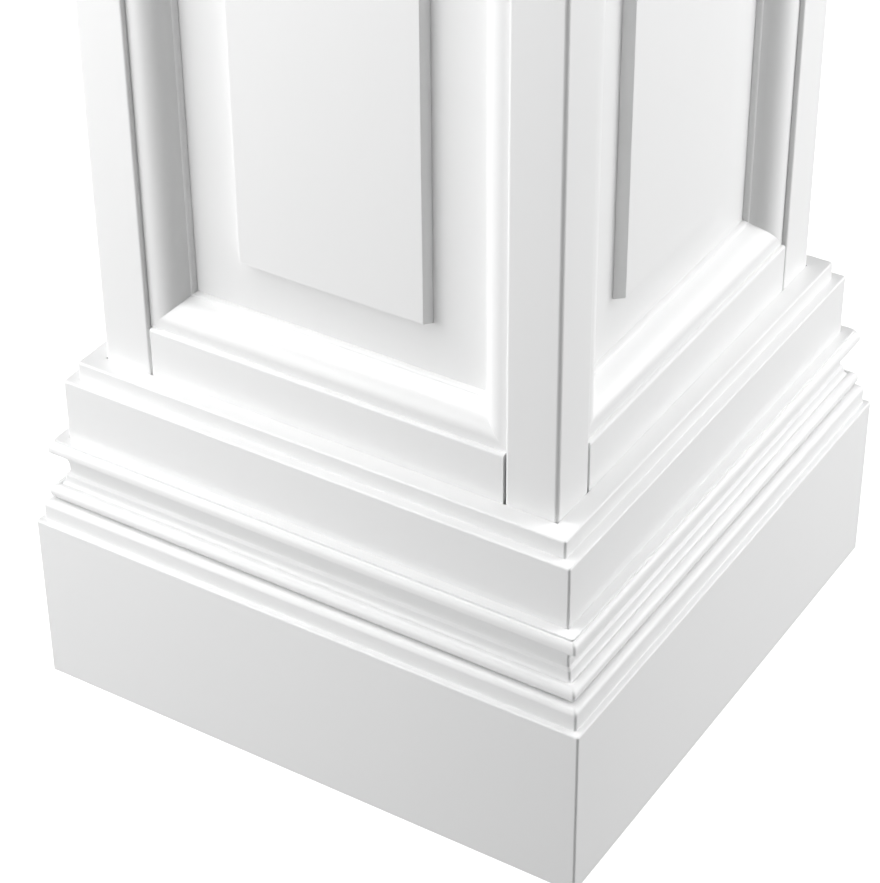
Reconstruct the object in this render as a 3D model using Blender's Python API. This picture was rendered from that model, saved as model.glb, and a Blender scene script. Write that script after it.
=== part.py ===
"""A square decorative column: a hollow box of painted boards, with a raised panel in a
moulded frame on each face, a stacked base and a plain capital. Metres, +Z up, the middle
of the underside at the origin, and the front face looking along -Y."""

import math

import bpy
import bmesh
from mathutils import Matrix

# The whole column
COLUMN_HEIGHT = 2.438          # floor to ceiling
SHAFT_WIDTH = 0.305            # over the faces of the stiles
FIT_GAP = 0.0003               # left between pieces that touch
CORNER_EASE = 0.0016           # radius on the base's and capital's outer corners
STILE_CORNER_EASE = 0.0026     # radius on the shaft's outer corners
EASE_STEPS = 2                 # facets on half of such a corner

# The frame on each face
STILE_WIDTH = 0.0331
STILE_THICKNESS = 0.0190
RAIL_SHOWN = 0.0323            # how much of a rail shows beyond the base or the capital
RAIL_JOINT = 0.0013            # open line between a rail's end and its stile
PANEL_BOARD_THICKNESS = 0.012

# The moulding that lines the frame
MOULDING_WIDTH = 0.0228
MOULDING_SET_BACK = 0.0030     # from the stile's face to the moulding's outer flat
MOULDING_FLAT = 0.0048         # width of that flat
OGEE_ROUND = 0.0150            # radius of the ogee's convex part
OGEE_HOLLOW = 0.0165           # radius of its concave part
OGEE_STEEPEST = 66             # degrees, where the two parts meet
OGEE_FOOT = 50                 # degrees, where the concave part ends
BEAD_WIDTH = 0.0019            # the small quarter bead next to the panel
BEAD_HEIGHT = 0.0033
BEAD_START = 75                # degrees

# The raised slab on each panel
SLAB_RISE = 0.0066
SLAB_DRAFT = 0.0019            # how far its sides lean outwards on the way down
SLAB_SIDE_MARGIN = 0.0590      # from the stile to the slab's face
SLAB_END_MARGIN = 0.0570       # from the rail to the slab's face

# The base board, against the stiles
BASE_BOARD_THICKNESS = 0.0183
BASE_LEDGE_HEIGHT = 0.2160     # floor to its outer top edge
BASE_STEP_RISE = 0.0115
BASE_STEP_IN = 0.0066

# The plinth board, against the base board
PLINTH_BOARD_THICKNESS = 0.0172
PLINTH_LEDGE_HEIGHT = 0.1175   # floor to its outer top edge
PLINTH_STEP_RISE = 0.0100      # upright part of the step
PLINTH_STEP_IN = 0.0039
PLINTH_SHOULDER = 0.0041       # radius of the rounded top

# The base cap, which stands on the plinth board
TORUS_OUT = 0.0105             # from the base board's face
TORUS_LOWER_WIDTH = 0.0058
TORUS_LOWER_HEIGHT = 0.0055
TORUS_UPPER_WIDTH = 0.0047
TORUS_UPPER_HEIGHT = 0.0050
QUIRK_IN = 0.0007              # the groove above the torus
QUIRK_DOWN = 0.0004
SMALL_COVE_WIDTH = 0.0019
SMALL_COVE_HEIGHT = 0.0062
COVE_LEDGE_WIDTH = 0.0013      # from the small cove in to the main one
COVE_LEDGE_RISE = 0.0014
COVE_THINNEST = 0.0012         # wood and gap left behind the cove's deepest line
COVE_BEND = 0.0029             # height of the cove's lower part
COVE_HEIGHT = 0.0137           # height of its upper part, up to the nose
NOSE_OUT = 0.0097
NOSE_LOWER_ROUND = 0.0010
NOSE_LOWER_START = -60         # degrees
NOSE_UPPER_WIDTH = 0.0031
NOSE_UPPER_HEIGHT = 0.0062
CAP_FILLET_RISE = 0.0016

# The capital
NECK_BOARD_THICKNESS = 0.0183
NECK_BOARD_HEIGHT = 0.128
NECK_STEP_RISE = 0.0115
NECK_STEP_IN = 0.0066
CROWN_HEIGHT = 0.076
CROWN_FASCIA = 0.046           # upright face under the ceiling
CROWN_OUT = 0.0175             # from the neck board's face
CROWN_FILLET = 0.0030

ARC_STEPS = 5                  # facets on a quarter round or an ogee part
COVE_STEPS = 9
NOSE_STEPS = 2                 # facets on the small round under the nose
SHARP_ANGLE = math.radians(40)
FACES = ("front", "right", "back", "left")

# Places that follow from the sizes above
SHAFT = SHAFT_WIDTH / 2
PANEL_FACE = SHAFT - STILE_THICKNESS - FIT_GAP
PANEL_BACK = PANEL_FACE - PANEL_BOARD_THICKNESS
OPENING = SHAFT - STILE_WIDTH
BASE_FACE = SHAFT + FIT_GAP + BASE_BOARD_THICKNESS
PLINTH_FACE = BASE_FACE + FIT_GAP + PLINTH_BOARD_THICKNESS
BASE_TOP = BASE_LEDGE_HEIGHT + BASE_STEP_RISE
PLINTH_TOP = PLINTH_LEDGE_HEIGHT + PLINTH_STEP_RISE + PLINTH_SHOULDER
NECK_FACE = SHAFT + FIT_GAP + NECK_BOARD_THICKNESS
NECK_BOTTOM = COLUMN_HEIGHT - NECK_BOARD_HEIGHT
OPENING_BOTTOM = BASE_TOP + RAIL_SHOWN
OPENING_TOP = NECK_BOTTOM - RAIL_SHOWN
MITRE_GAP = FIT_GAP / math.sqrt(2)

PAINT = {
    "board": ((0.86, 0.86, 0.85, 1.0), 0.36),
    "panel": ((0.87, 0.87, 0.86, 1.0), 0.38),
    "moulding": ((0.88, 0.88, 0.87, 1.0), 0.34),
    "base": ((0.85, 0.85, 0.84, 1.0), 0.36),
}


def clear_scene():
    for old in list(bpy.data.objects):
        bpy.data.objects.remove(old, do_unlink=True)


def paint(name, kind):
    """A satin white paint, one material for each sub-part."""
    colour, roughness = PAINT[kind]
    material = bpy.data.materials.new(name)
    material.use_nodes = True
    shader = material.node_tree.nodes["Principled BSDF"]
    shader.inputs["Base Color"].default_value = colour
    shader.inputs["Roughness"].default_value = roughness
    shader.inputs["Metallic"].default_value = 0.0
    return material


def arc(centre, radii, start, end, steps=ARC_STEPS):
    """Points on an ellipse's arc, with angles in degrees, both ends included."""
    points = []
    for step in range(steps + 1):
        angle = math.radians(start + (end - start) * step / steps)
        points.append((centre[0] + radii[0] * math.cos(angle), centre[1] + radii[1] * math.sin(angle)))
    return points


def cavetto(low, high):
    """A hollow quarter from low to high that leaves low level and reaches high upright."""
    return arc((low[0], high[1]), (low[0] - high[0], high[1] - low[1]), 270, 180)


def under_cove(low, high):
    """A hollow quarter from low to high that leaves low upright and reaches high level."""
    return arc((high[0], low[1]), (high[0] - low[0], high[1] - low[1]), 180, 90, COVE_STEPS)


def eased_corner(out, ease):
    """Stations along a mitred end: how far back each is, and where its skin lies."""
    stations = []
    for step in range(EASE_STEPS + 1):
        angle = math.radians(45) * step / EASE_STEPS
        along = out - ease + ease * math.sin(angle)
        stations.append((along, out - ease + ease * math.cos(angle)))
    return stations


def mitred_board(name, skin, back):
    """A length across one face, mitred at both ends. Skin points are (out, up) from bottom
    to top and get the eased corner, and back points are (out, up) from top to bottom."""
    bm = bmesh.new()
    sections = []
    for side in (-1, 1):
        stations = range(EASE_STEPS, -1, -1) if side < 0 else range(EASE_STEPS + 1)
        for station in stations:
            ring = []
            for out, up in skin:
                along, lies = eased_corner(out, CORNER_EASE)[station]
                ring.append(bm.verts.new((side * (along - MITRE_GAP), -lies, up)))
            for out, up in back:
                share = station / EASE_STEPS
                along = out - CORNER_EASE * (1 - share)
                ring.append(bm.verts.new((side * (along - MITRE_GAP), -out, up)))
            sections.append(ring)
    for first, second in zip(sections, sections[1:]):
        for index in range(len(first)):
            following = (index + 1) % len(first)
            bm.faces.new((first[index], second[index], second[following], first[following]))
    bm.faces.new(reversed(sections[0]))
    bm.faces.new(sections[-1])
    return finished(bm, name)


def mitred_strip(name, profile, half_length):
    """A moulding along X whose ends are mitred inwards: profile points are (across, proud)
    from its outer edge, and the ends draw in as across grows."""
    bm = bmesh.new()
    rings = []
    for side in (-1, 1):
        ring = []
        for across, proud in profile:
            ring.append(bm.verts.new((side * (half_length - across - MITRE_GAP), -proud, across)))
        rings.append(ring)
    for index in range(len(profile)):
        following = (index + 1) % len(profile)
        bm.faces.new((rings[0][index], rings[1][index], rings[1][following], rings[0][following]))
    bm.faces.new(reversed(rings[0]))
    bm.faces.new(rings[1])
    return finished(bm, name)


def upright(name, outline, low, high):
    """An outline in plan, (x, out), drawn up from low to high."""
    bm = bmesh.new()
    plan = bm.faces.new([bm.verts.new((x, -out, low)) for x, out in outline])
    drawn = bmesh.ops.extrude_face_region(bm, geom=[plan])
    risen = [item for item in drawn["geom"] if isinstance(item, bmesh.types.BMVert)]
    bmesh.ops.translate(bm, verts=risen, vec=(0, 0, high - low))
    return finished(bm, name)


def box(name, low, high):
    """A plain board between two corners, from a cube."""
    bm = bmesh.new()
    middle = [(a + b) / 2 for a, b in zip(low, high)]
    size = [b - a for a, b in zip(low, high)]
    shape = Matrix.Translation(middle) @ Matrix.Diagonal((*size, 1))
    bmesh.ops.create_cube(bm, size=1, matrix=shape)
    return finished(bm, name)


def finished(bm, name):
    bmesh.ops.recalc_face_normals(bm, faces=bm.faces)
    mesh = bpy.data.meshes.new(name)
    bm.to_mesh(mesh)
    bm.free()
    mesh.shade_smooth()
    mesh.set_sharp_from_angle(angle=SHARP_ANGLE)
    return mesh


def place(mesh, name, kind, collection, parent, where=Matrix.Identity(4)):
    """Puts a piece on one face of the column, with its own material."""
    piece = bpy.data.objects.new(name, mesh.copy())
    piece.data.materials.append(paint(name, kind))
    collection.objects.link(piece)
    piece.parent = parent
    piece.matrix_local = where
    return piece


def panel_board():
    """One side of the box, mitred to the next, whose face shows as the panel's field."""
    cut = MITRE_GAP
    outline = [
        (-PANEL_BACK + cut, PANEL_BACK),
        (PANEL_BACK - cut, PANEL_BACK),
        (PANEL_FACE - cut, PANEL_FACE),
        (-PANEL_FACE + cut, PANEL_FACE),
    ]
    return upright("panel_board", outline, 0, COLUMN_HEIGHT)


def stile(side):
    """The upright at one edge of a face, mitred to its neighbour round the corner."""
    back = PANEL_FACE + FIT_GAP
    outline = [(side * OPENING, back), (side * OPENING, SHAFT)]
    for along, lies in eased_corner(SHAFT, STILE_CORNER_EASE):
        outline.append((side * (along - MITRE_GAP), lies))
    outline.append((side * (back - MITRE_GAP), back))
    return upright("stile", outline, 0, COLUMN_HEIGHT)


def rail(low, high):
    """A cross board between the stiles, with a fine open line at each end."""
    reach = OPENING - RAIL_JOINT
    return box("rail", (-reach, -SHAFT, low), (reach, -(PANEL_FACE + FIT_GAP), high))


def slab():
    """The raised slab: a flat board whose sides lean outwards a little."""
    half_width = OPENING - SLAB_SIDE_MARGIN
    half_height = (OPENING_TOP - OPENING_BOTTOM) / 2 - SLAB_END_MARGIN
    bm = bmesh.new()
    bmesh.ops.create_cube(bm, size=2)
    for vert in bm.verts:
        at_back = vert.co.y > 0
        spread = SLAB_DRAFT if at_back else 0
        vert.co.x *= half_width + spread
        vert.co.z *= half_height + spread
        vert.co.y = 0 if at_back else -SLAB_RISE
    return finished(bm, "slab")


def panel_moulding_profile():
    """Flat, ogee and bead, as (across, proud) with proud measured from the panel."""
    top = STILE_THICKNESS - MOULDING_SET_BACK
    points = [(FIT_GAP, 0), (FIT_GAP, top)]
    round_centre = (MOULDING_FLAT, top - OGEE_ROUND)
    points += arc(round_centre, (OGEE_ROUND, OGEE_ROUND), 90, 90 - OGEE_STEEPEST)
    across, proud = points[-1]
    steepest = math.radians(OGEE_STEEPEST)
    hollow_centre = (across + OGEE_HOLLOW * math.sin(steepest), proud + OGEE_HOLLOW * math.cos(steepest))
    points += arc(hollow_centre, (OGEE_HOLLOW, OGEE_HOLLOW), 270 - OGEE_STEEPEST, 270 - OGEE_FOOT)[1:]
    points += arc((MOULDING_WIDTH - BEAD_WIDTH, 0), (BEAD_WIDTH, BEAD_HEIGHT), BEAD_START, 0)
    return points


def base_board():
    """The inner board of the base, from the floor to the stepped top edge."""
    step_face = BASE_FACE - BASE_STEP_IN
    skin = [
        (BASE_FACE, 0),
        (BASE_FACE, BASE_LEDGE_HEIGHT),
        (step_face, BASE_LEDGE_HEIGHT),
        (step_face, BASE_TOP),
    ]
    inside = SHAFT + FIT_GAP
    return mitred_board("base_board", skin, [(inside, BASE_TOP), (inside, 0)])


def plinth_board():
    """The outer board of the base, with a step and a rounded shoulder on top."""
    step_face = PLINTH_FACE - PLINTH_STEP_IN
    shoulder = PLINTH_LEDGE_HEIGHT + PLINTH_STEP_RISE
    skin = [(PLINTH_FACE, 0), (PLINTH_FACE, PLINTH_LEDGE_HEIGHT), (step_face, PLINTH_LEDGE_HEIGHT)]
    centre = (step_face - PLINTH_SHOULDER, shoulder)
    skin += arc(centre, (PLINTH_SHOULDER, PLINTH_SHOULDER), 0, 90)
    inside = BASE_FACE + FIT_GAP
    return mitred_board("plinth_board", skin, [(inside, PLINTH_TOP), (inside, 0)])


def base_cap():
    """The moulding on the plinth board: torus, small cove, main cove, nose and fillet."""
    seat = PLINTH_TOP + FIT_GAP
    torus = BASE_FACE + TORUS_OUT
    middle = seat + TORUS_LOWER_HEIGHT
    lower = (TORUS_LOWER_WIDTH, TORUS_LOWER_HEIGHT)
    skin = arc((torus - TORUS_LOWER_WIDTH, middle), lower, -90, 0)
    upper = (TORUS_UPPER_WIDTH, TORUS_UPPER_HEIGHT)
    skin += arc((torus - TORUS_UPPER_WIDTH, middle), upper, 0, 90)[1:]
    quirk = (skin[-1][0] - QUIRK_IN, skin[-1][1] - QUIRK_DOWN)
    ledge = (quirk[0] - SMALL_COVE_WIDTH, quirk[1] + SMALL_COVE_HEIGHT)
    skin += cavetto(quirk, ledge)
    cove_foot = (ledge[0] - COVE_LEDGE_WIDTH, ledge[1] + COVE_LEDGE_RISE)
    deepest = (BASE_FACE + COVE_THINNEST, cove_foot[1] + COVE_BEND)
    skin += cavetto(cove_foot, deepest)
    nose = BASE_FACE + NOSE_OUT
    nose_low = nose - NOSE_LOWER_ROUND
    under_nose = (nose_low, deepest[1] + COVE_HEIGHT)
    skin += under_cove(deepest, under_nose)[1:]
    round_up = under_nose[1] + NOSE_LOWER_ROUND
    skin += arc((nose_low, round_up), (NOSE_LOWER_ROUND, NOSE_LOWER_ROUND), NOSE_LOWER_START, 0, NOSE_STEPS)
    nose_upper = (NOSE_UPPER_WIDTH, NOSE_UPPER_HEIGHT)
    skin += arc((nose - NOSE_UPPER_WIDTH, round_up), nose_upper, 0, 90)[1:]
    top = skin[-1][1] + CAP_FILLET_RISE
    skin.append((skin[-1][0], top))
    inside = BASE_FACE + FIT_GAP
    return mitred_board("base_cap", skin, [(inside, top), (inside, seat)])


def neck_board():
    """The capital's flat band, with the base board's step turned upside down."""
    step_face = NECK_FACE - NECK_STEP_IN
    ledge = NECK_BOTTOM + NECK_STEP_RISE
    skin = [
        (step_face, NECK_BOTTOM),
        (step_face, ledge),
        (NECK_FACE, ledge),
        (NECK_FACE, COLUMN_HEIGHT),
    ]
    inside = SHAFT + FIT_GAP
    return mitred_board("neck_board", skin, [(inside, COLUMN_HEIGHT), (inside, NECK_BOTTOM)])


def crown():
    """The capital's moulding: a fillet, a cove and an upright fascia up to the ceiling."""
    bottom = COLUMN_HEIGHT - CROWN_HEIGHT
    fascia_foot = COLUMN_HEIGHT - CROWN_FASCIA
    face = NECK_FACE + CROWN_OUT
    start = NECK_FACE + CROWN_FILLET
    skin = [(start, bottom), (start, bottom + CROWN_FILLET)]
    cove_rise = fascia_foot - CROWN_FILLET - skin[-1][1]
    cove_run = face - CROWN_FILLET - start
    centre = (start + cove_run, skin[-1][1])
    skin += arc(centre, (cove_run, cove_rise), 180, 90)[1:]
    skin += [(face - CROWN_FILLET, fascia_foot), (face, fascia_foot), (face, COLUMN_HEIGHT)]
    inside = NECK_FACE + FIT_GAP
    return mitred_board("crown", skin, [(inside, COLUMN_HEIGHT), (inside, bottom)])


def place_panel_mouldings(face, collection, parent, meshes):
    """Four mitred lengths round one opening."""
    middle = (OPENING_BOTTOM + OPENING_TOP) / 2
    half_height = (OPENING_TOP - OPENING_BOTTOM) / 2
    proud = -(PANEL_FACE + FIT_GAP)
    for quarter, (edge, reach) in enumerate(
        (("bottom", half_height), ("right", OPENING), ("top", half_height), ("left", OPENING))
    ):
        turned = Matrix.Rotation(-math.radians(90) * quarter, 4, "Y")
        where = Matrix.Translation((0, proud, middle)) @ turned @ Matrix.Translation((0, 0, -reach))
        mesh = meshes["across" if quarter % 2 == 0 else "upright"]
        place(mesh, f"{face}_panel_moulding_{edge}", "moulding", collection, parent, where)


def build():
    clear_scene()
    collection = bpy.data.collections.new("decorative_column")
    bpy.context.scene.collection.children.link(collection)
    profile = panel_moulding_profile()
    mouldings = {
        "across": mitred_strip("moulding_across", profile, OPENING),
        "upright": mitred_strip("moulding_upright", profile, (OPENING_TOP - OPENING_BOTTOM) / 2),
    }
    single = {
        "panel_board": (panel_board(), "panel"),
        "stile_left": (stile(-1), "board"),
        "stile_right": (stile(1), "board"),
        "rail_bottom": (rail(0, OPENING_BOTTOM), "board"),
        "rail_top": (rail(OPENING_TOP, COLUMN_HEIGHT), "board"),
        "base_board": (base_board(), "base"),
        "plinth_board": (plinth_board(), "base"),
        "base_cap": (base_cap(), "base"),
        "neck_board": (neck_board(), "base"),
        "crown": (crown(), "base"),
    }
    slab_mesh = slab()
    middle = (OPENING_BOTTOM + OPENING_TOP) / 2
    slab_place = Matrix.Translation((0, -(PANEL_FACE + FIT_GAP), middle))
    for number, face in enumerate(FACES):
        turn = bpy.data.objects.new(f"{face}_side", None)
        turn.rotation_euler = (0, 0, math.radians(90) * number)
        collection.objects.link(turn)
        for piece, (mesh, kind) in single.items():
            place(mesh, f"{face}_{piece}", kind, collection, turn)
        place(slab_mesh, f"{face}_raised_slab", "panel", collection, turn, slab_place)
        place_panel_mouldings(face, collection, turn, mouldings)
    bpy.context.view_layer.update()


build()
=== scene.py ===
"""The decorative column as photographed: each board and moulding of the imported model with
eased edges and smooth profiles, in satin white paint, on a plain white studio floor.
Metres, +Z up, the front face looking along -Y."""

import math

import bmesh
import bpy
from mathutils import Matrix, Vector


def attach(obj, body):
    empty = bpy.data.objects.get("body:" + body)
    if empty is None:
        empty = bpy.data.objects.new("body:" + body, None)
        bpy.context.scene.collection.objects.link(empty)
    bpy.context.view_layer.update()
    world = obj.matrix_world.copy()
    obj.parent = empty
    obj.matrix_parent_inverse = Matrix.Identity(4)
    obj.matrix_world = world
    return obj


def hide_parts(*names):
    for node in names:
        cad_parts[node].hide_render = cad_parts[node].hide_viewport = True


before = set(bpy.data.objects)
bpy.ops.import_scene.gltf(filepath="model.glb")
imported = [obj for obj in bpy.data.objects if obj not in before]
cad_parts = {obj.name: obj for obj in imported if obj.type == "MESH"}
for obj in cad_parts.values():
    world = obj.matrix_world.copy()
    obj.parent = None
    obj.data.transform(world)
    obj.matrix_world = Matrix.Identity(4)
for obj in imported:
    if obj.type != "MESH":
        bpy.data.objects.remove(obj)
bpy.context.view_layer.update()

# Main sizes, as in the CAD model
COLUMN_HEIGHT = 2.438
SHAFT = 0.1525                 # from the middle to the stiles' faces
FIT_GAP = 0.0003
PAINTED_GAP = 0.00002          # what paint leaves open of it
CORNER_EASE = 0.0016           # radius on the base's and capital's outer corners
STILE_CORNER_EASE = 0.0026     # radius on the shaft's outer corners
STILE_WIDTH = 0.0331
STILE_THICKNESS = 0.0190
RAIL_SHOWN = 0.0323
RAIL_JOINT = 0.0013
PANEL_FACE = SHAFT - STILE_THICKNESS - FIT_GAP
OPENING = SHAFT - STILE_WIDTH

# The moulding that lines the frame
MOULDING_WIDTH = 0.0228
MOULDING_SET_BACK = 0.0030
MOULDING_FLAT = 0.0048
OGEE_ROUND = 0.0150
OGEE_HOLLOW = 0.0165
OGEE_STEEPEST = 66             # degrees
OGEE_FOOT = 50
BEAD_WIDTH = 0.0019
BEAD_HEIGHT = 0.0033
BEAD_START = 75

# The raised slab
SLAB_RISE = 0.0066
SLAB_DRAFT = 0.0019
SLAB_SIDE_MARGIN = 0.0590
SLAB_END_MARGIN = 0.0570

# The base
BASE_FACE = 0.1711
BASE_LEDGE_HEIGHT = 0.2160
BASE_STEP_RISE = 0.0115
BASE_STEP_IN = 0.0066
BASE_TOP = BASE_LEDGE_HEIGHT + BASE_STEP_RISE
PLINTH_FACE = 0.1886
PLINTH_LEDGE_HEIGHT = 0.1175
PLINTH_STEP_RISE = 0.0100
PLINTH_STEP_IN = 0.0039
PLINTH_SHOULDER = 0.0041
PLINTH_TOP = PLINTH_LEDGE_HEIGHT + PLINTH_STEP_RISE + PLINTH_SHOULDER

# The base cap
TORUS_OUT = 0.0105
TORUS_LOWER_WIDTH = 0.0058
TORUS_LOWER_HEIGHT = 0.0055
TORUS_UPPER_WIDTH = 0.0047
TORUS_UPPER_HEIGHT = 0.0050
QUIRK_IN = 0.0007
QUIRK_DOWN = 0.0004
SMALL_COVE_WIDTH = 0.0019
SMALL_COVE_HEIGHT = 0.0062
COVE_LEDGE_WIDTH = 0.0013
COVE_LEDGE_RISE = 0.0014
COVE_THINNEST = 0.0012
COVE_BEND = 0.0029
COVE_HEIGHT = 0.0137
NOSE_OUT = 0.0097
NOSE_LOWER_ROUND = 0.0010
NOSE_LOWER_START = -60         # degrees
NOSE_UPPER_WIDTH = 0.0031
NOSE_UPPER_HEIGHT = 0.0062
CAP_FILLET_RISE = 0.0016

# The capital
NECK_FACE = 0.1711
NECK_BOTTOM = 2.310
NECK_STEP_RISE = 0.0115
NECK_STEP_IN = 0.0066
CROWN_HEIGHT = 0.076
CROWN_FASCIA = 0.046
CROWN_OUT = 0.0175
CROWN_FILLET = 0.0030
OPENING_BOTTOM = BASE_TOP + RAIL_SHOWN
OPENING_TOP = NECK_BOTTOM - RAIL_SHOWN

# Finish of the edges
FRAME_EASE = 0.0019            # sanded and painted arrises of the frame
EDGE_EASE = 0.0014             # those of the base and capital
FINE_EASE = 0.0005             # crisper ones, on the mouldings and the slab
PAINT_FILL = 0.0005            # paint gathered in inner corners
EASE_STEPS = 4
ARC_STEPS = 12
COVE_STEPS = 20
NOSE_STEPS = 4
EASE_REACH = 0.45              # most of a side that one rounding may use
EASE_FLATTEST = math.radians(150)   # corners flatter than this stay as they are
SHARP_ANGLE = math.radians(50)
FACES = ("front", "right", "back", "left")

# The paint: noises as (scale, detail, seed), and how deep each one is
BROAD_NOISE = (6, 2, 3.1)
BRUSHED_NOISE = (420, 3, 7.7)
ROLLED_NOISE = (950, 2, 1.3)
BRUSH_STRETCH = 0.04
BROAD_DEPTH = 0.0004
BRUSHED_DEPTH = 0.00001
ROLLED_DEPTH = 0.000008
ROUGHNESS_SPREAD = 0.03
TINTS = ((0.885, 0.888, 0.889, 1), (0.905, 0.906, 0.904, 1))

# The camera
CAMERA_AZIMUTH = math.radians(32.298)
CAMERA_ELEVATION = math.radians(35.813)
CAMERA_ROLL = math.radians(-0.515)
CAMERA_DISTANCE = 1.73957
CAMERA_LENS = 113.904          # millimetres, on a sensor 36 high
CAMERA_AIM = Vector((0, 0, 0.11316))
CAMERA_AIM_RIGHT = -0.01558
CAMERA_AIM_UP = 0.01434

# The light: two banks of softboxes, left and right of the camera, as
# (azimuth, elevation, power), and a dim one overhead
SOFTBOX_SIZE = 0.9
SOFTBOX_DISTANCE = 1.6         # from the aim
SOFTBOX_AIM = Vector((0, 0, 0.2))
SOFTBOXES = (
    (-58, 5, 3.1),
    (-58, 30, 9.7),
    (-58, 60, 5.5),
    (-30, 5, 10.3),
    (-30, 60, 5.6),
    (122, 5, 13.5),
    (122, 30, 5.0),
    (122, 60, 7.7),
    (150, 30, 2.6),
)
OVERHEAD_SIZE = 2.4
OVERHEAD_DISTANCE = 3.8
OVERHEAD_POWER = 14
FLOOR_BOUNCE = 0.90            # light from straight below
ROOM_LIGHT = 0.035             # light from the sides and above
FLOOR_HALF_SIZE = 15
FLOOR_DROP = 0.0002            # keeps the floor clear of the boards' undersides
FLOOR_GLOW = 0.6


def arc(centre, radii, start, end, steps=ARC_STEPS):
    """Points on an ellipse's arc, with angles in degrees, both ends included."""
    points = []
    for step in range(steps + 1):
        angle = math.radians(start + (end - start) * step / steps)
        points.append((centre[0] + radii[0] * math.cos(angle), centre[1] + radii[1] * math.sin(angle)))
    return points


def cavetto(low, high):
    """A hollow quarter from low to high that leaves low level and reaches high upright."""
    return arc((low[0], high[1]), (low[0] - high[0], high[1] - low[1]), 270, 180)


def under_cove(low, high):
    """A hollow quarter from low to high that leaves low upright and reaches high level."""
    return arc((high[0], low[1]), (high[0] - low[0], high[1] - low[1]), 180, 90, COVE_STEPS)


def rounded(points, ease, fill):
    """Rounds an outline's sharp corners: ease where it is convex, fill where it is hollow.
    The outline runs with its solid on the left."""
    result = []
    count = len(points)
    for index, point in enumerate(points):
        if index in (0, count - 1):
            result.append(point)
            continue
        here = Vector(point)
        before = Vector(points[index - 1]) - here
        after = Vector(points[index + 1]) - here
        opening = before.angle(after)
        if opening > EASE_FLATTEST:
            result.append(point)
            continue
        turn = after.x * before.y - after.y * before.x
        radius = ease if turn > 0 else fill
        reach = radius / math.tan(opening / 2)
        reach = min(reach, before.length * EASE_REACH, after.length * EASE_REACH)
        start = here + before.normalized() * reach
        end = here + after.normalized() * reach
        for step in range(EASE_STEPS + 1):
            share = step / EASE_STEPS
            spot = start * (1 - share) ** 2 + here * 2 * share * (1 - share) + end * share**2
            result.append((spot.x, spot.y))
    return result


def finished(bm, name):
    """Turns a solid into a mesh with smooth curves and sharp corners."""
    bmesh.ops.recalc_face_normals(bm, faces=bm.faces)
    mesh = bpy.data.meshes.new(name)
    bm.to_mesh(mesh)
    bm.free()
    mesh.shade_smooth()
    mesh.set_sharp_from_angle(angle=SHARP_ANGLE)
    sharpen_ends(mesh)
    return mesh


def sharpen_ends(mesh):
    """Keeps a length's cut ends out of the shading of the long faces beside them."""
    ends = {key for polygon in mesh.polygons if polygon.loop_total > 4 for key in polygon.edge_keys}
    for edge in mesh.edges:
        if edge.key in ends:
            edge.use_edge_sharp = True


def swept(sections, name):
    """Joins rings of points of equal number into one closed solid."""
    bm = bmesh.new()
    rings = [[bm.verts.new(point) for point in section] for section in sections]
    for first, second in zip(rings, rings[1:]):
        for index in range(len(first)):
            following = (index + 1) % len(first)
            bm.faces.new((first[index], second[index], second[following], first[following]))
    bm.faces.new(reversed(rings[0]))
    bm.faces.new(rings[-1])
    return finished(bm, name)


def eased_corner(out, ease):
    """Stations along a mitred end: how far back each is, and where its skin lies."""
    stations = []
    for step in range(EASE_STEPS + 1):
        angle = math.radians(45) * step / EASE_STEPS
        along = out - ease + ease * math.sin(angle)
        stations.append((along, out - ease + ease * math.cos(angle)))
    return stations


def mitred_board(name, skin, back, ease=EDGE_EASE):
    """A length across one face, mitred at both ends. Skin points are (out, up) from bottom
    to top and get the eased corner, and back points are (out, up) from top to bottom."""
    skin = rounded(skin, ease, PAINT_FILL)
    sections = []
    for side in (-1, 1):
        stations = range(EASE_STEPS, -1, -1) if side < 0 else range(EASE_STEPS + 1)
        for station in stations:
            ring = []
            for out, up in skin:
                along, lies = eased_corner(out, CORNER_EASE)[station]
                ring.append((side * (along - PAINTED_GAP), -lies, up))
            for out, up in back:
                along = out - CORNER_EASE * (1 - station / EASE_STEPS)
                ring.append((side * (along - PAINTED_GAP), -out, up))
            sections.append(ring)
    return swept(sections, name)


def mitred_strip(name, profile, half_length):
    """A moulding along X whose ends are mitred inwards, from (across, proud) points."""
    sections = []
    for side in (-1, 1):
        sections.append([(side * (half_length - a - PAINTED_GAP), -proud, a) for a, proud in profile])
    return swept(sections, name)


def stile(side):
    """The upright at one edge of a face, with an eased inner arris."""
    back = PANEL_FACE + FIT_GAP
    corner = [(along - PAINTED_GAP, lies) for along, lies in eased_corner(SHAFT, STILE_CORNER_EASE)]
    arris = rounded([corner[0], (OPENING, SHAFT), (OPENING, back)], FRAME_EASE, PAINT_FILL)
    outline = corner[::-1] + arris[1:] + [(back - PAINTED_GAP, back)]
    sections = [[(side * x, -out, up) for x, out in outline] for up in (0, COLUMN_HEIGHT)]
    return swept(sections, "stile")


def leaning_box(name, low, high, ease, lean):
    """A board between two corners, with eased arrises and leaning sides."""
    bm = bmesh.new()
    bmesh.ops.create_cube(bm, size=1)
    for vert in bm.verts:
        at_back = vert.co.y > 0
        for axis in range(3):
            share = vert.co[axis] + 0.5
            vert.co[axis] = low[axis] + (high[axis] - low[axis]) * share
        if not at_back:
            vert.co.x -= math.copysign(lean, vert.co.x)
            vert.co.z -= math.copysign(lean, vert.co.z - (low[2] + high[2]) / 2)
    front = [edge for edge in bm.edges if all(vert.co.y < high[1] - 1e-6 for vert in edge.verts)]
    bmesh.ops.bevel(bm, geom=front, offset=ease, segments=EASE_STEPS, profile=0.5, affect="EDGES")
    return finished(bm, name)


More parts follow.
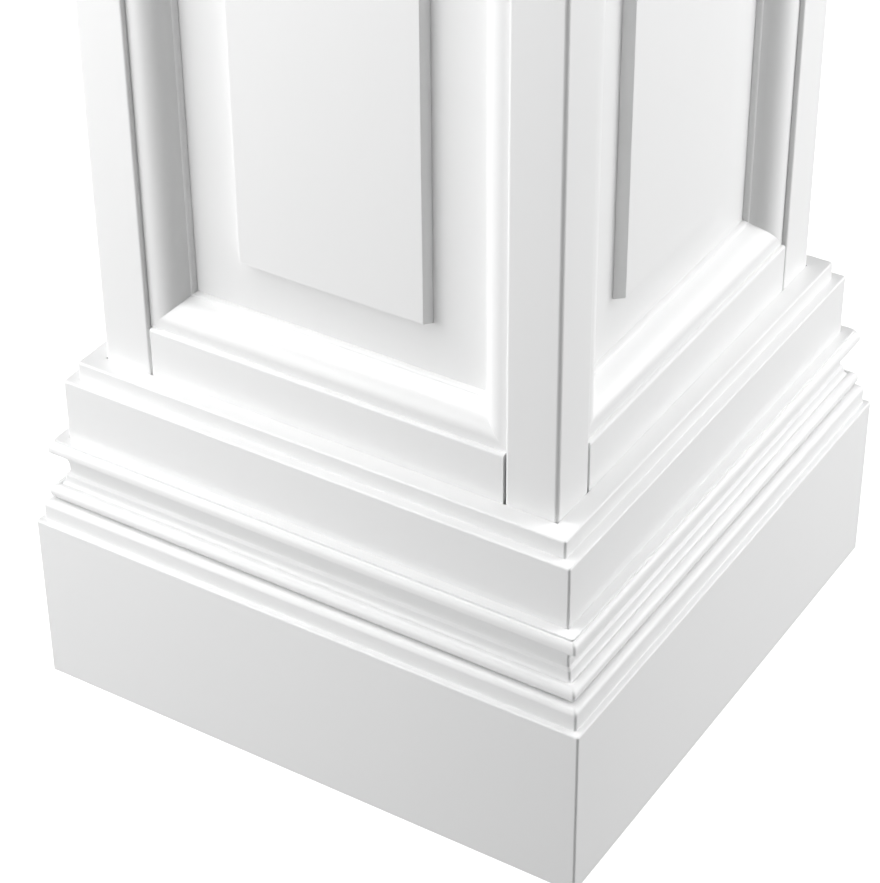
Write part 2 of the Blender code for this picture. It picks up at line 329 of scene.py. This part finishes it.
def rail(low, high):
    """A cross board with eased long arrises and crisp ends."""
    reach = OPENING - RAIL_JOINT
    back = PANEL_FACE + FIT_GAP
    outline = rounded([(back, low), (SHAFT, low), (SHAFT, high), (back, high)], FRAME_EASE, PAINT_FILL)
    sections = [[(x, -out, up) for out, up in outline] for x in (-reach, reach)]
    return swept(sections, "rail")


def slab():
    """The raised slab in the middle of a panel."""
    half_width = OPENING - SLAB_SIDE_MARGIN + SLAB_DRAFT
    low = OPENING_BOTTOM + SLAB_END_MARGIN - SLAB_DRAFT
    high = OPENING_TOP - SLAB_END_MARGIN + SLAB_DRAFT
    back = -(PANEL_FACE + PAINTED_GAP)
    low = (-half_width, -(PANEL_FACE + FIT_GAP + SLAB_RISE), low)
    high = (half_width, back, high)
    return leaning_box("slab", low, high, FINE_EASE, SLAB_DRAFT)


def panel_moulding_profile():
    """Flat, ogee and bead, as (across, proud) with proud measured from the panel."""
    top = STILE_THICKNESS - MOULDING_SET_BACK
    foot = PAINTED_GAP - FIT_GAP
    points = [(PAINTED_GAP, top)]
    round_centre = (MOULDING_FLAT, top - OGEE_ROUND)
    points += arc(round_centre, (OGEE_ROUND, OGEE_ROUND), 90, 90 - OGEE_STEEPEST)
    across, proud = points[-1]
    steepest = math.radians(OGEE_STEEPEST)
    hollow_centre = (across + OGEE_HOLLOW * math.sin(steepest), proud + OGEE_HOLLOW * math.cos(steepest))
    points += arc(hollow_centre, (OGEE_HOLLOW, OGEE_HOLLOW), 270 - OGEE_STEEPEST, 270 - OGEE_FOOT)[1:]
    points += arc((MOULDING_WIDTH - BEAD_WIDTH, 0), (BEAD_WIDTH, BEAD_HEIGHT), BEAD_START, 0)
    points.append((MOULDING_WIDTH, foot))
    return rounded(points[::-1], FINE_EASE, PAINT_FILL) + [(PAINTED_GAP, foot)]


def base_board():
    """The inner board of the base, from the floor to the stepped top edge."""
    step_face = BASE_FACE - BASE_STEP_IN
    skin = [
        (BASE_FACE, 0),
        (BASE_FACE, BASE_LEDGE_HEIGHT),
        (step_face, BASE_LEDGE_HEIGHT),
        (step_face, BASE_TOP),
        (SHAFT + FIT_GAP, BASE_TOP),
    ]
    inside = SHAFT + PAINTED_GAP
    return mitred_board("base_board", skin, [(inside, BASE_TOP), (inside, 0)])


def plinth_board():
    """The outer board of the base, with a step and a rounded shoulder on top."""
    step_face = PLINTH_FACE - PLINTH_STEP_IN
    shoulder = PLINTH_LEDGE_HEIGHT + PLINTH_STEP_RISE
    skin = [(PLINTH_FACE, 0), (PLINTH_FACE, PLINTH_LEDGE_HEIGHT), (step_face, PLINTH_LEDGE_HEIGHT)]
    centre = (step_face - PLINTH_SHOULDER, shoulder)
    skin += arc(centre, (PLINTH_SHOULDER, PLINTH_SHOULDER), 0, 90)
    inside = BASE_FACE + PAINTED_GAP
    return mitred_board("plinth_board", skin, [(inside, PLINTH_TOP), (inside, 0)])


def base_cap():
    """Torus, small cove, main cove, nose and fillet."""
    seat = PLINTH_TOP + FIT_GAP
    torus = BASE_FACE + TORUS_OUT
    middle = seat + TORUS_LOWER_HEIGHT
    lower = (TORUS_LOWER_WIDTH, TORUS_LOWER_HEIGHT)
    skin = arc((torus - TORUS_LOWER_WIDTH, middle), lower, -90, 0)
    upper = (TORUS_UPPER_WIDTH, TORUS_UPPER_HEIGHT)
    skin += arc((torus - TORUS_UPPER_WIDTH, middle), upper, 0, 90)[1:]
    quirk = (skin[-1][0] - QUIRK_IN, skin[-1][1] - QUIRK_DOWN)
    ledge = (quirk[0] - SMALL_COVE_WIDTH, quirk[1] + SMALL_COVE_HEIGHT)
    skin += cavetto(quirk, ledge)
    cove_foot = (ledge[0] - COVE_LEDGE_WIDTH, ledge[1] + COVE_LEDGE_RISE)
    deepest = (BASE_FACE + COVE_THINNEST, cove_foot[1] + COVE_BEND)
    skin += cavetto(cove_foot, deepest)
    nose = BASE_FACE + NOSE_OUT
    nose_low = nose - NOSE_LOWER_ROUND
    under_nose = (nose_low, deepest[1] + COVE_HEIGHT)
    skin += under_cove(deepest, under_nose)[1:]
    round_up = under_nose[1] + NOSE_LOWER_ROUND
    skin += arc((nose_low, round_up), (NOSE_LOWER_ROUND, NOSE_LOWER_ROUND), NOSE_LOWER_START, 0, NOSE_STEPS)
    nose_upper = (NOSE_UPPER_WIDTH, NOSE_UPPER_HEIGHT)
    skin += arc((nose - NOSE_UPPER_WIDTH, round_up), nose_upper, 0, 90)[1:]
    top = skin[-1][1] + CAP_FILLET_RISE
    skin += [(skin[-1][0], top), (BASE_FACE + FIT_GAP, top)]
    inside = BASE_FACE + PAINTED_GAP
    return mitred_board("base_cap", skin, [(inside, top), (inside, seat)], FINE_EASE)


def neck_board():
    """The capital's flat band, with the base board's step turned upside down."""
    step_face = NECK_FACE - NECK_STEP_IN
    ledge = NECK_BOTTOM + NECK_STEP_RISE
    skin = [
        (step_face, NECK_BOTTOM),
        (step_face, ledge),
        (NECK_FACE, ledge),
        (NECK_FACE, COLUMN_HEIGHT),
    ]
    inside = SHAFT + PAINTED_GAP
    return mitred_board("neck_board", skin, [(inside, COLUMN_HEIGHT), (inside, NECK_BOTTOM)])


def crown():
    """A fillet, a cove and an upright fascia up to the ceiling."""
    bottom = COLUMN_HEIGHT - CROWN_HEIGHT
    fascia_foot = COLUMN_HEIGHT - CROWN_FASCIA
    face = NECK_FACE + CROWN_OUT
    start = NECK_FACE + CROWN_FILLET
    skin = [(start, bottom), (start, bottom + CROWN_FILLET)]
    cove_rise = fascia_foot - CROWN_FILLET - skin[-1][1]
    cove_run = face - CROWN_FILLET - start
    centre = (start + cove_run, skin[-1][1])
    skin += arc(centre, (cove_run, cove_rise), 180, 90)[1:]
    skin += [(face - CROWN_FILLET, fascia_foot), (face, fascia_foot), (face, COLUMN_HEIGHT)]
    inside = NECK_FACE + PAINTED_GAP
    return mitred_board("crown", skin, [(inside, COLUMN_HEIGHT), (inside, bottom)])


def satin_paint(name, along, roughness):
    """White satin paint: faint brush marks along the board, a fine rolled texture, and a
    sheen that changes a little from place to place."""
    material = bpy.data.materials.new(name)
    material.use_nodes = True
    nodes = material.node_tree.nodes
    links = material.node_tree.links
    shader = nodes["Principled BSDF"]
    place = nodes.new("ShaderNodeTexCoord")

    def noise(kind, stretch=(1, 1, 1)):
        scale, detail, seed = kind
        mapping = nodes.new("ShaderNodeMapping")
        mapping.inputs["Scale"].default_value = stretch
        mapping.inputs["Location"].default_value = (seed, seed * 0.37, seed * 0.71)
        links.new(place.outputs["Object"], mapping.inputs["Vector"])
        texture = nodes.new("ShaderNodeTexNoise")
        texture.inputs["Scale"].default_value = scale
        texture.inputs["Detail"].default_value = detail
        links.new(mapping.outputs["Vector"], texture.inputs["Vector"])
        return texture.outputs["Fac"]

    def remap(source, low, high):
        node = nodes.new("ShaderNodeMapRange")
        node.inputs["From Min"].default_value = 0.3
        node.inputs["From Max"].default_value = 0.7
        node.inputs["To Min"].default_value = low
        node.inputs["To Max"].default_value = high
        links.new(source, node.inputs["Value"])
        return node.outputs["Result"]

    def bump(source, distance, before=None):
        node = nodes.new("ShaderNodeBump")
        node.inputs["Strength"].default_value = 1.0
        node.inputs["Distance"].default_value = distance
        links.new(source, node.inputs["Height"])
        if before:
            links.new(before, node.inputs["Normal"])
        return node.outputs["Normal"]

    upright_strokes = (1, 1, BRUSH_STRETCH)
    level_strokes = (BRUSH_STRETCH, BRUSH_STRETCH, 1)
    broad = noise(BROAD_NOISE)
    brushed = noise(BRUSHED_NOISE, upright_strokes if along == "Z" else level_strokes)
    rolled = noise(ROLLED_NOISE)
    tint = nodes.new("ShaderNodeMix")
    tint.data_type = "RGBA"
    links.new(broad, tint.inputs["Factor"])
    tint.inputs["A"].default_value, tint.inputs["B"].default_value = TINTS
    links.new(tint.outputs["Result"], shader.inputs["Base Color"])
    sheen = remap(brushed, roughness - ROUGHNESS_SPREAD, roughness + ROUGHNESS_SPREAD)
    links.new(sheen, shader.inputs["Roughness"])
    normal = bump(broad, BROAD_DEPTH)
    normal = bump(brushed, BRUSHED_DEPTH, normal)
    normal = bump(rolled, ROLLED_DEPTH, normal)
    links.new(normal, shader.inputs["Normal"])
    return material


def dress(face_number, node, mesh, material, where=None):
    """Puts a finer piece in a CAD node's place."""
    piece = bpy.data.objects.new(f"painted_{node}", mesh.copy())
    turn = Matrix.Rotation(math.radians(90) * face_number, 4, "Z")
    piece.data.transform(turn @ (where or Matrix.Identity(4)))
    piece.data.materials.clear()
    piece.data.materials.append(material)
    bpy.context.scene.collection.objects.link(piece)
    weighted = piece.modifiers.new("flat_faces", "WEIGHTED_NORMAL")
    weighted.keep_sharp = True
    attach(piece, "root")
    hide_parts(node)


def dress_column():
    """Puts every piece of the four faces in place, in its paint."""
    upright_paint = satin_paint("painted_stiles", "Z", 0.36)
    cross_paint = satin_paint("painted_rails", "X", 0.36)
    panel_paint = satin_paint("painted_panels", "Z", 0.38)
    moulding_paint = satin_paint("painted_mouldings", "Z", 0.33)
    base_paint = satin_paint("painted_base", "X", 0.35)
    profile = panel_moulding_profile()
    half_height = (OPENING_TOP - OPENING_BOTTOM) / 2
    middle = (OPENING_BOTTOM + OPENING_TOP) / 2
    lengths = (
        mitred_strip("moulding_across", profile, OPENING),
        mitred_strip("moulding_upright", profile, half_height),
    )
    single = (
        ("stile_left", stile(-1), upright_paint, "frame_paint"),
        ("stile_right", stile(1), upright_paint, "frame_paint"),
        ("rail_bottom", rail(0, OPENING_BOTTOM), cross_paint, "frame_paint"),
        ("rail_top", rail(OPENING_TOP, COLUMN_HEIGHT), cross_paint, "frame_paint"),
        ("raised_slab", slab(), panel_paint, "panel_paint"),
        ("base_board", base_board(), base_paint, "base_paint"),
        ("plinth_board", plinth_board(), base_paint, "base_paint"),
        ("base_cap", base_cap(), base_paint, "base_paint"),
        ("neck_board", neck_board(), base_paint, "base_paint"),
        ("crown", crown(), base_paint, "base_paint"),
    )
    edges = (("bottom", half_height), ("right", OPENING), ("top", half_height), ("left", OPENING))
    lies = Matrix.Translation((0, -(PANEL_FACE + FIT_GAP), middle))
    for number, face in enumerate(FACES):
        for piece, mesh, material, slot in single:
            dress(number, f"{face}_{piece}", mesh, material)
        for quarter, (edge, reach) in enumerate(edges):
            turned = Matrix.Rotation(-math.radians(90) * quarter, 4, "Y")
            where = lies @ turned @ Matrix.Translation((0, 0, -reach))
            node = f"{face}_panel_moulding_{edge}"
            dress(number, node, lengths[quarter % 2], moulding_paint, where)
        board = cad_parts[f"{face}_panel_board"]
        board.material_slots[0].material = panel_paint


def add_camera():
    """The camera where the photographer's stood."""
    azimuth = CAMERA_AZIMUTH
    elevation = CAMERA_ELEVATION
    back = Vector((
        math.sin(azimuth) * math.cos(elevation),
        -math.cos(azimuth) * math.cos(elevation),
        math.sin(elevation),
    ))
    right = Vector((0, 0, 1)).cross(back).normalized()
    up = back.cross(right)
    c = math.cos(CAMERA_ROLL)
    s = math.sin(CAMERA_ROLL)
    right, up = c * right + s * up, -s * right + c * up
    aim = CAMERA_AIM + right * CAMERA_AIM_RIGHT + up * CAMERA_AIM_UP
    camera = bpy.data.objects.new("camera", bpy.data.cameras.new("camera"))
    camera.data.sensor_fit = "VERTICAL"
    camera.data.sensor_height = 36
    camera.data.lens = CAMERA_LENS
    turn = Matrix((right, up, back)).transposed().to_4x4()
    camera.matrix_world = Matrix.Translation(aim + back * CAMERA_DISTANCE) @ turn
    bpy.context.scene.collection.objects.link(camera)
    bpy.context.scene.camera = camera


def add_floor():
    """A pale floor that the light turns white."""
    bm = bmesh.new()
    bmesh.ops.create_grid(bm, x_segments=1, y_segments=1, size=FLOOR_HALF_SIZE)
    mesh = bpy.data.meshes.new("floor")
    bm.to_mesh(mesh)
    bm.free()
    floor = bpy.data.objects.new("floor", mesh)
    floor.location.z = -FLOOR_DROP
    material = bpy.data.materials.new("floor")
    material.use_nodes = True
    shader = material.node_tree.nodes["Principled BSDF"]
    shader.inputs["Base Color"].default_value = (0.9, 0.9, 0.9, 1)
    shader.inputs["Roughness"].default_value = 0.9
    shader.inputs["Emission Color"].default_value = (1, 1, 1, 1)
    shader.inputs["Emission Strength"].default_value = FLOOR_GLOW
    mesh.materials.append(material)
    bpy.context.scene.collection.objects.link(floor)
    floor.visible_diffuse = False
    floor.visible_glossy = False


def add_softbox(azimuth, elevation, power, size=SOFTBOX_SIZE, distance=SOFTBOX_DISTANCE):
    """A square lamp that faces the aim from a direction given in degrees."""
    light = bpy.data.lights.new(f"softbox_{azimuth}_{elevation}", "AREA")
    light.shape = "SQUARE"
    light.size = size
    light.energy = power
    lamp = bpy.data.objects.new(light.name, light)
    azimuth = math.radians(azimuth)
    elevation = math.radians(elevation)
    away = Vector((
        math.sin(azimuth) * math.cos(elevation),
        -math.cos(azimuth) * math.cos(elevation),
        math.sin(elevation),
    ))
    lamp.location = SOFTBOX_AIM + away * distance
    lamp.rotation_euler = away.to_track_quat("Z", "Y").to_euler()
    bpy.context.scene.collection.objects.link(lamp)


def add_world():
    """A dim room, with the light that a white floor throws up from below."""
    world = bpy.data.worlds.new("studio")
    bpy.context.scene.world = world
    world.use_nodes = True
    nodes = world.node_tree.nodes
    links = world.node_tree.links
    background = nodes["Background"]
    background.inputs["Color"].default_value = (1, 1, 1, 1)
    direction = nodes.new("ShaderNodeTexCoord")
    height = nodes.new("ShaderNodeSeparateXYZ")
    links.new(direction.outputs["Generated"], height.inputs["Vector"])
    ramp = nodes.new("ShaderNodeMapRange")
    ramp.inputs["From Min"].default_value = 0
    ramp.inputs["From Max"].default_value = -1
    ramp.inputs["To Min"].default_value = ROOM_LIGHT
    ramp.inputs["To Max"].default_value = FLOOR_BOUNCE
    links.new(height.outputs["Z"], ramp.inputs["Value"])
    links.new(ramp.outputs["Result"], background.inputs["Strength"])


def add_light():
    bpy.context.scene.view_settings.view_transform = "Standard"
    add_world()
    for azimuth, elevation, power in SOFTBOXES:
        add_softbox(azimuth, elevation, power)
    add_softbox(0, 90, OVERHEAD_POWER, OVERHEAD_SIZE, OVERHEAD_DISTANCE)


add_camera()
dress_column()
add_floor()
add_light()
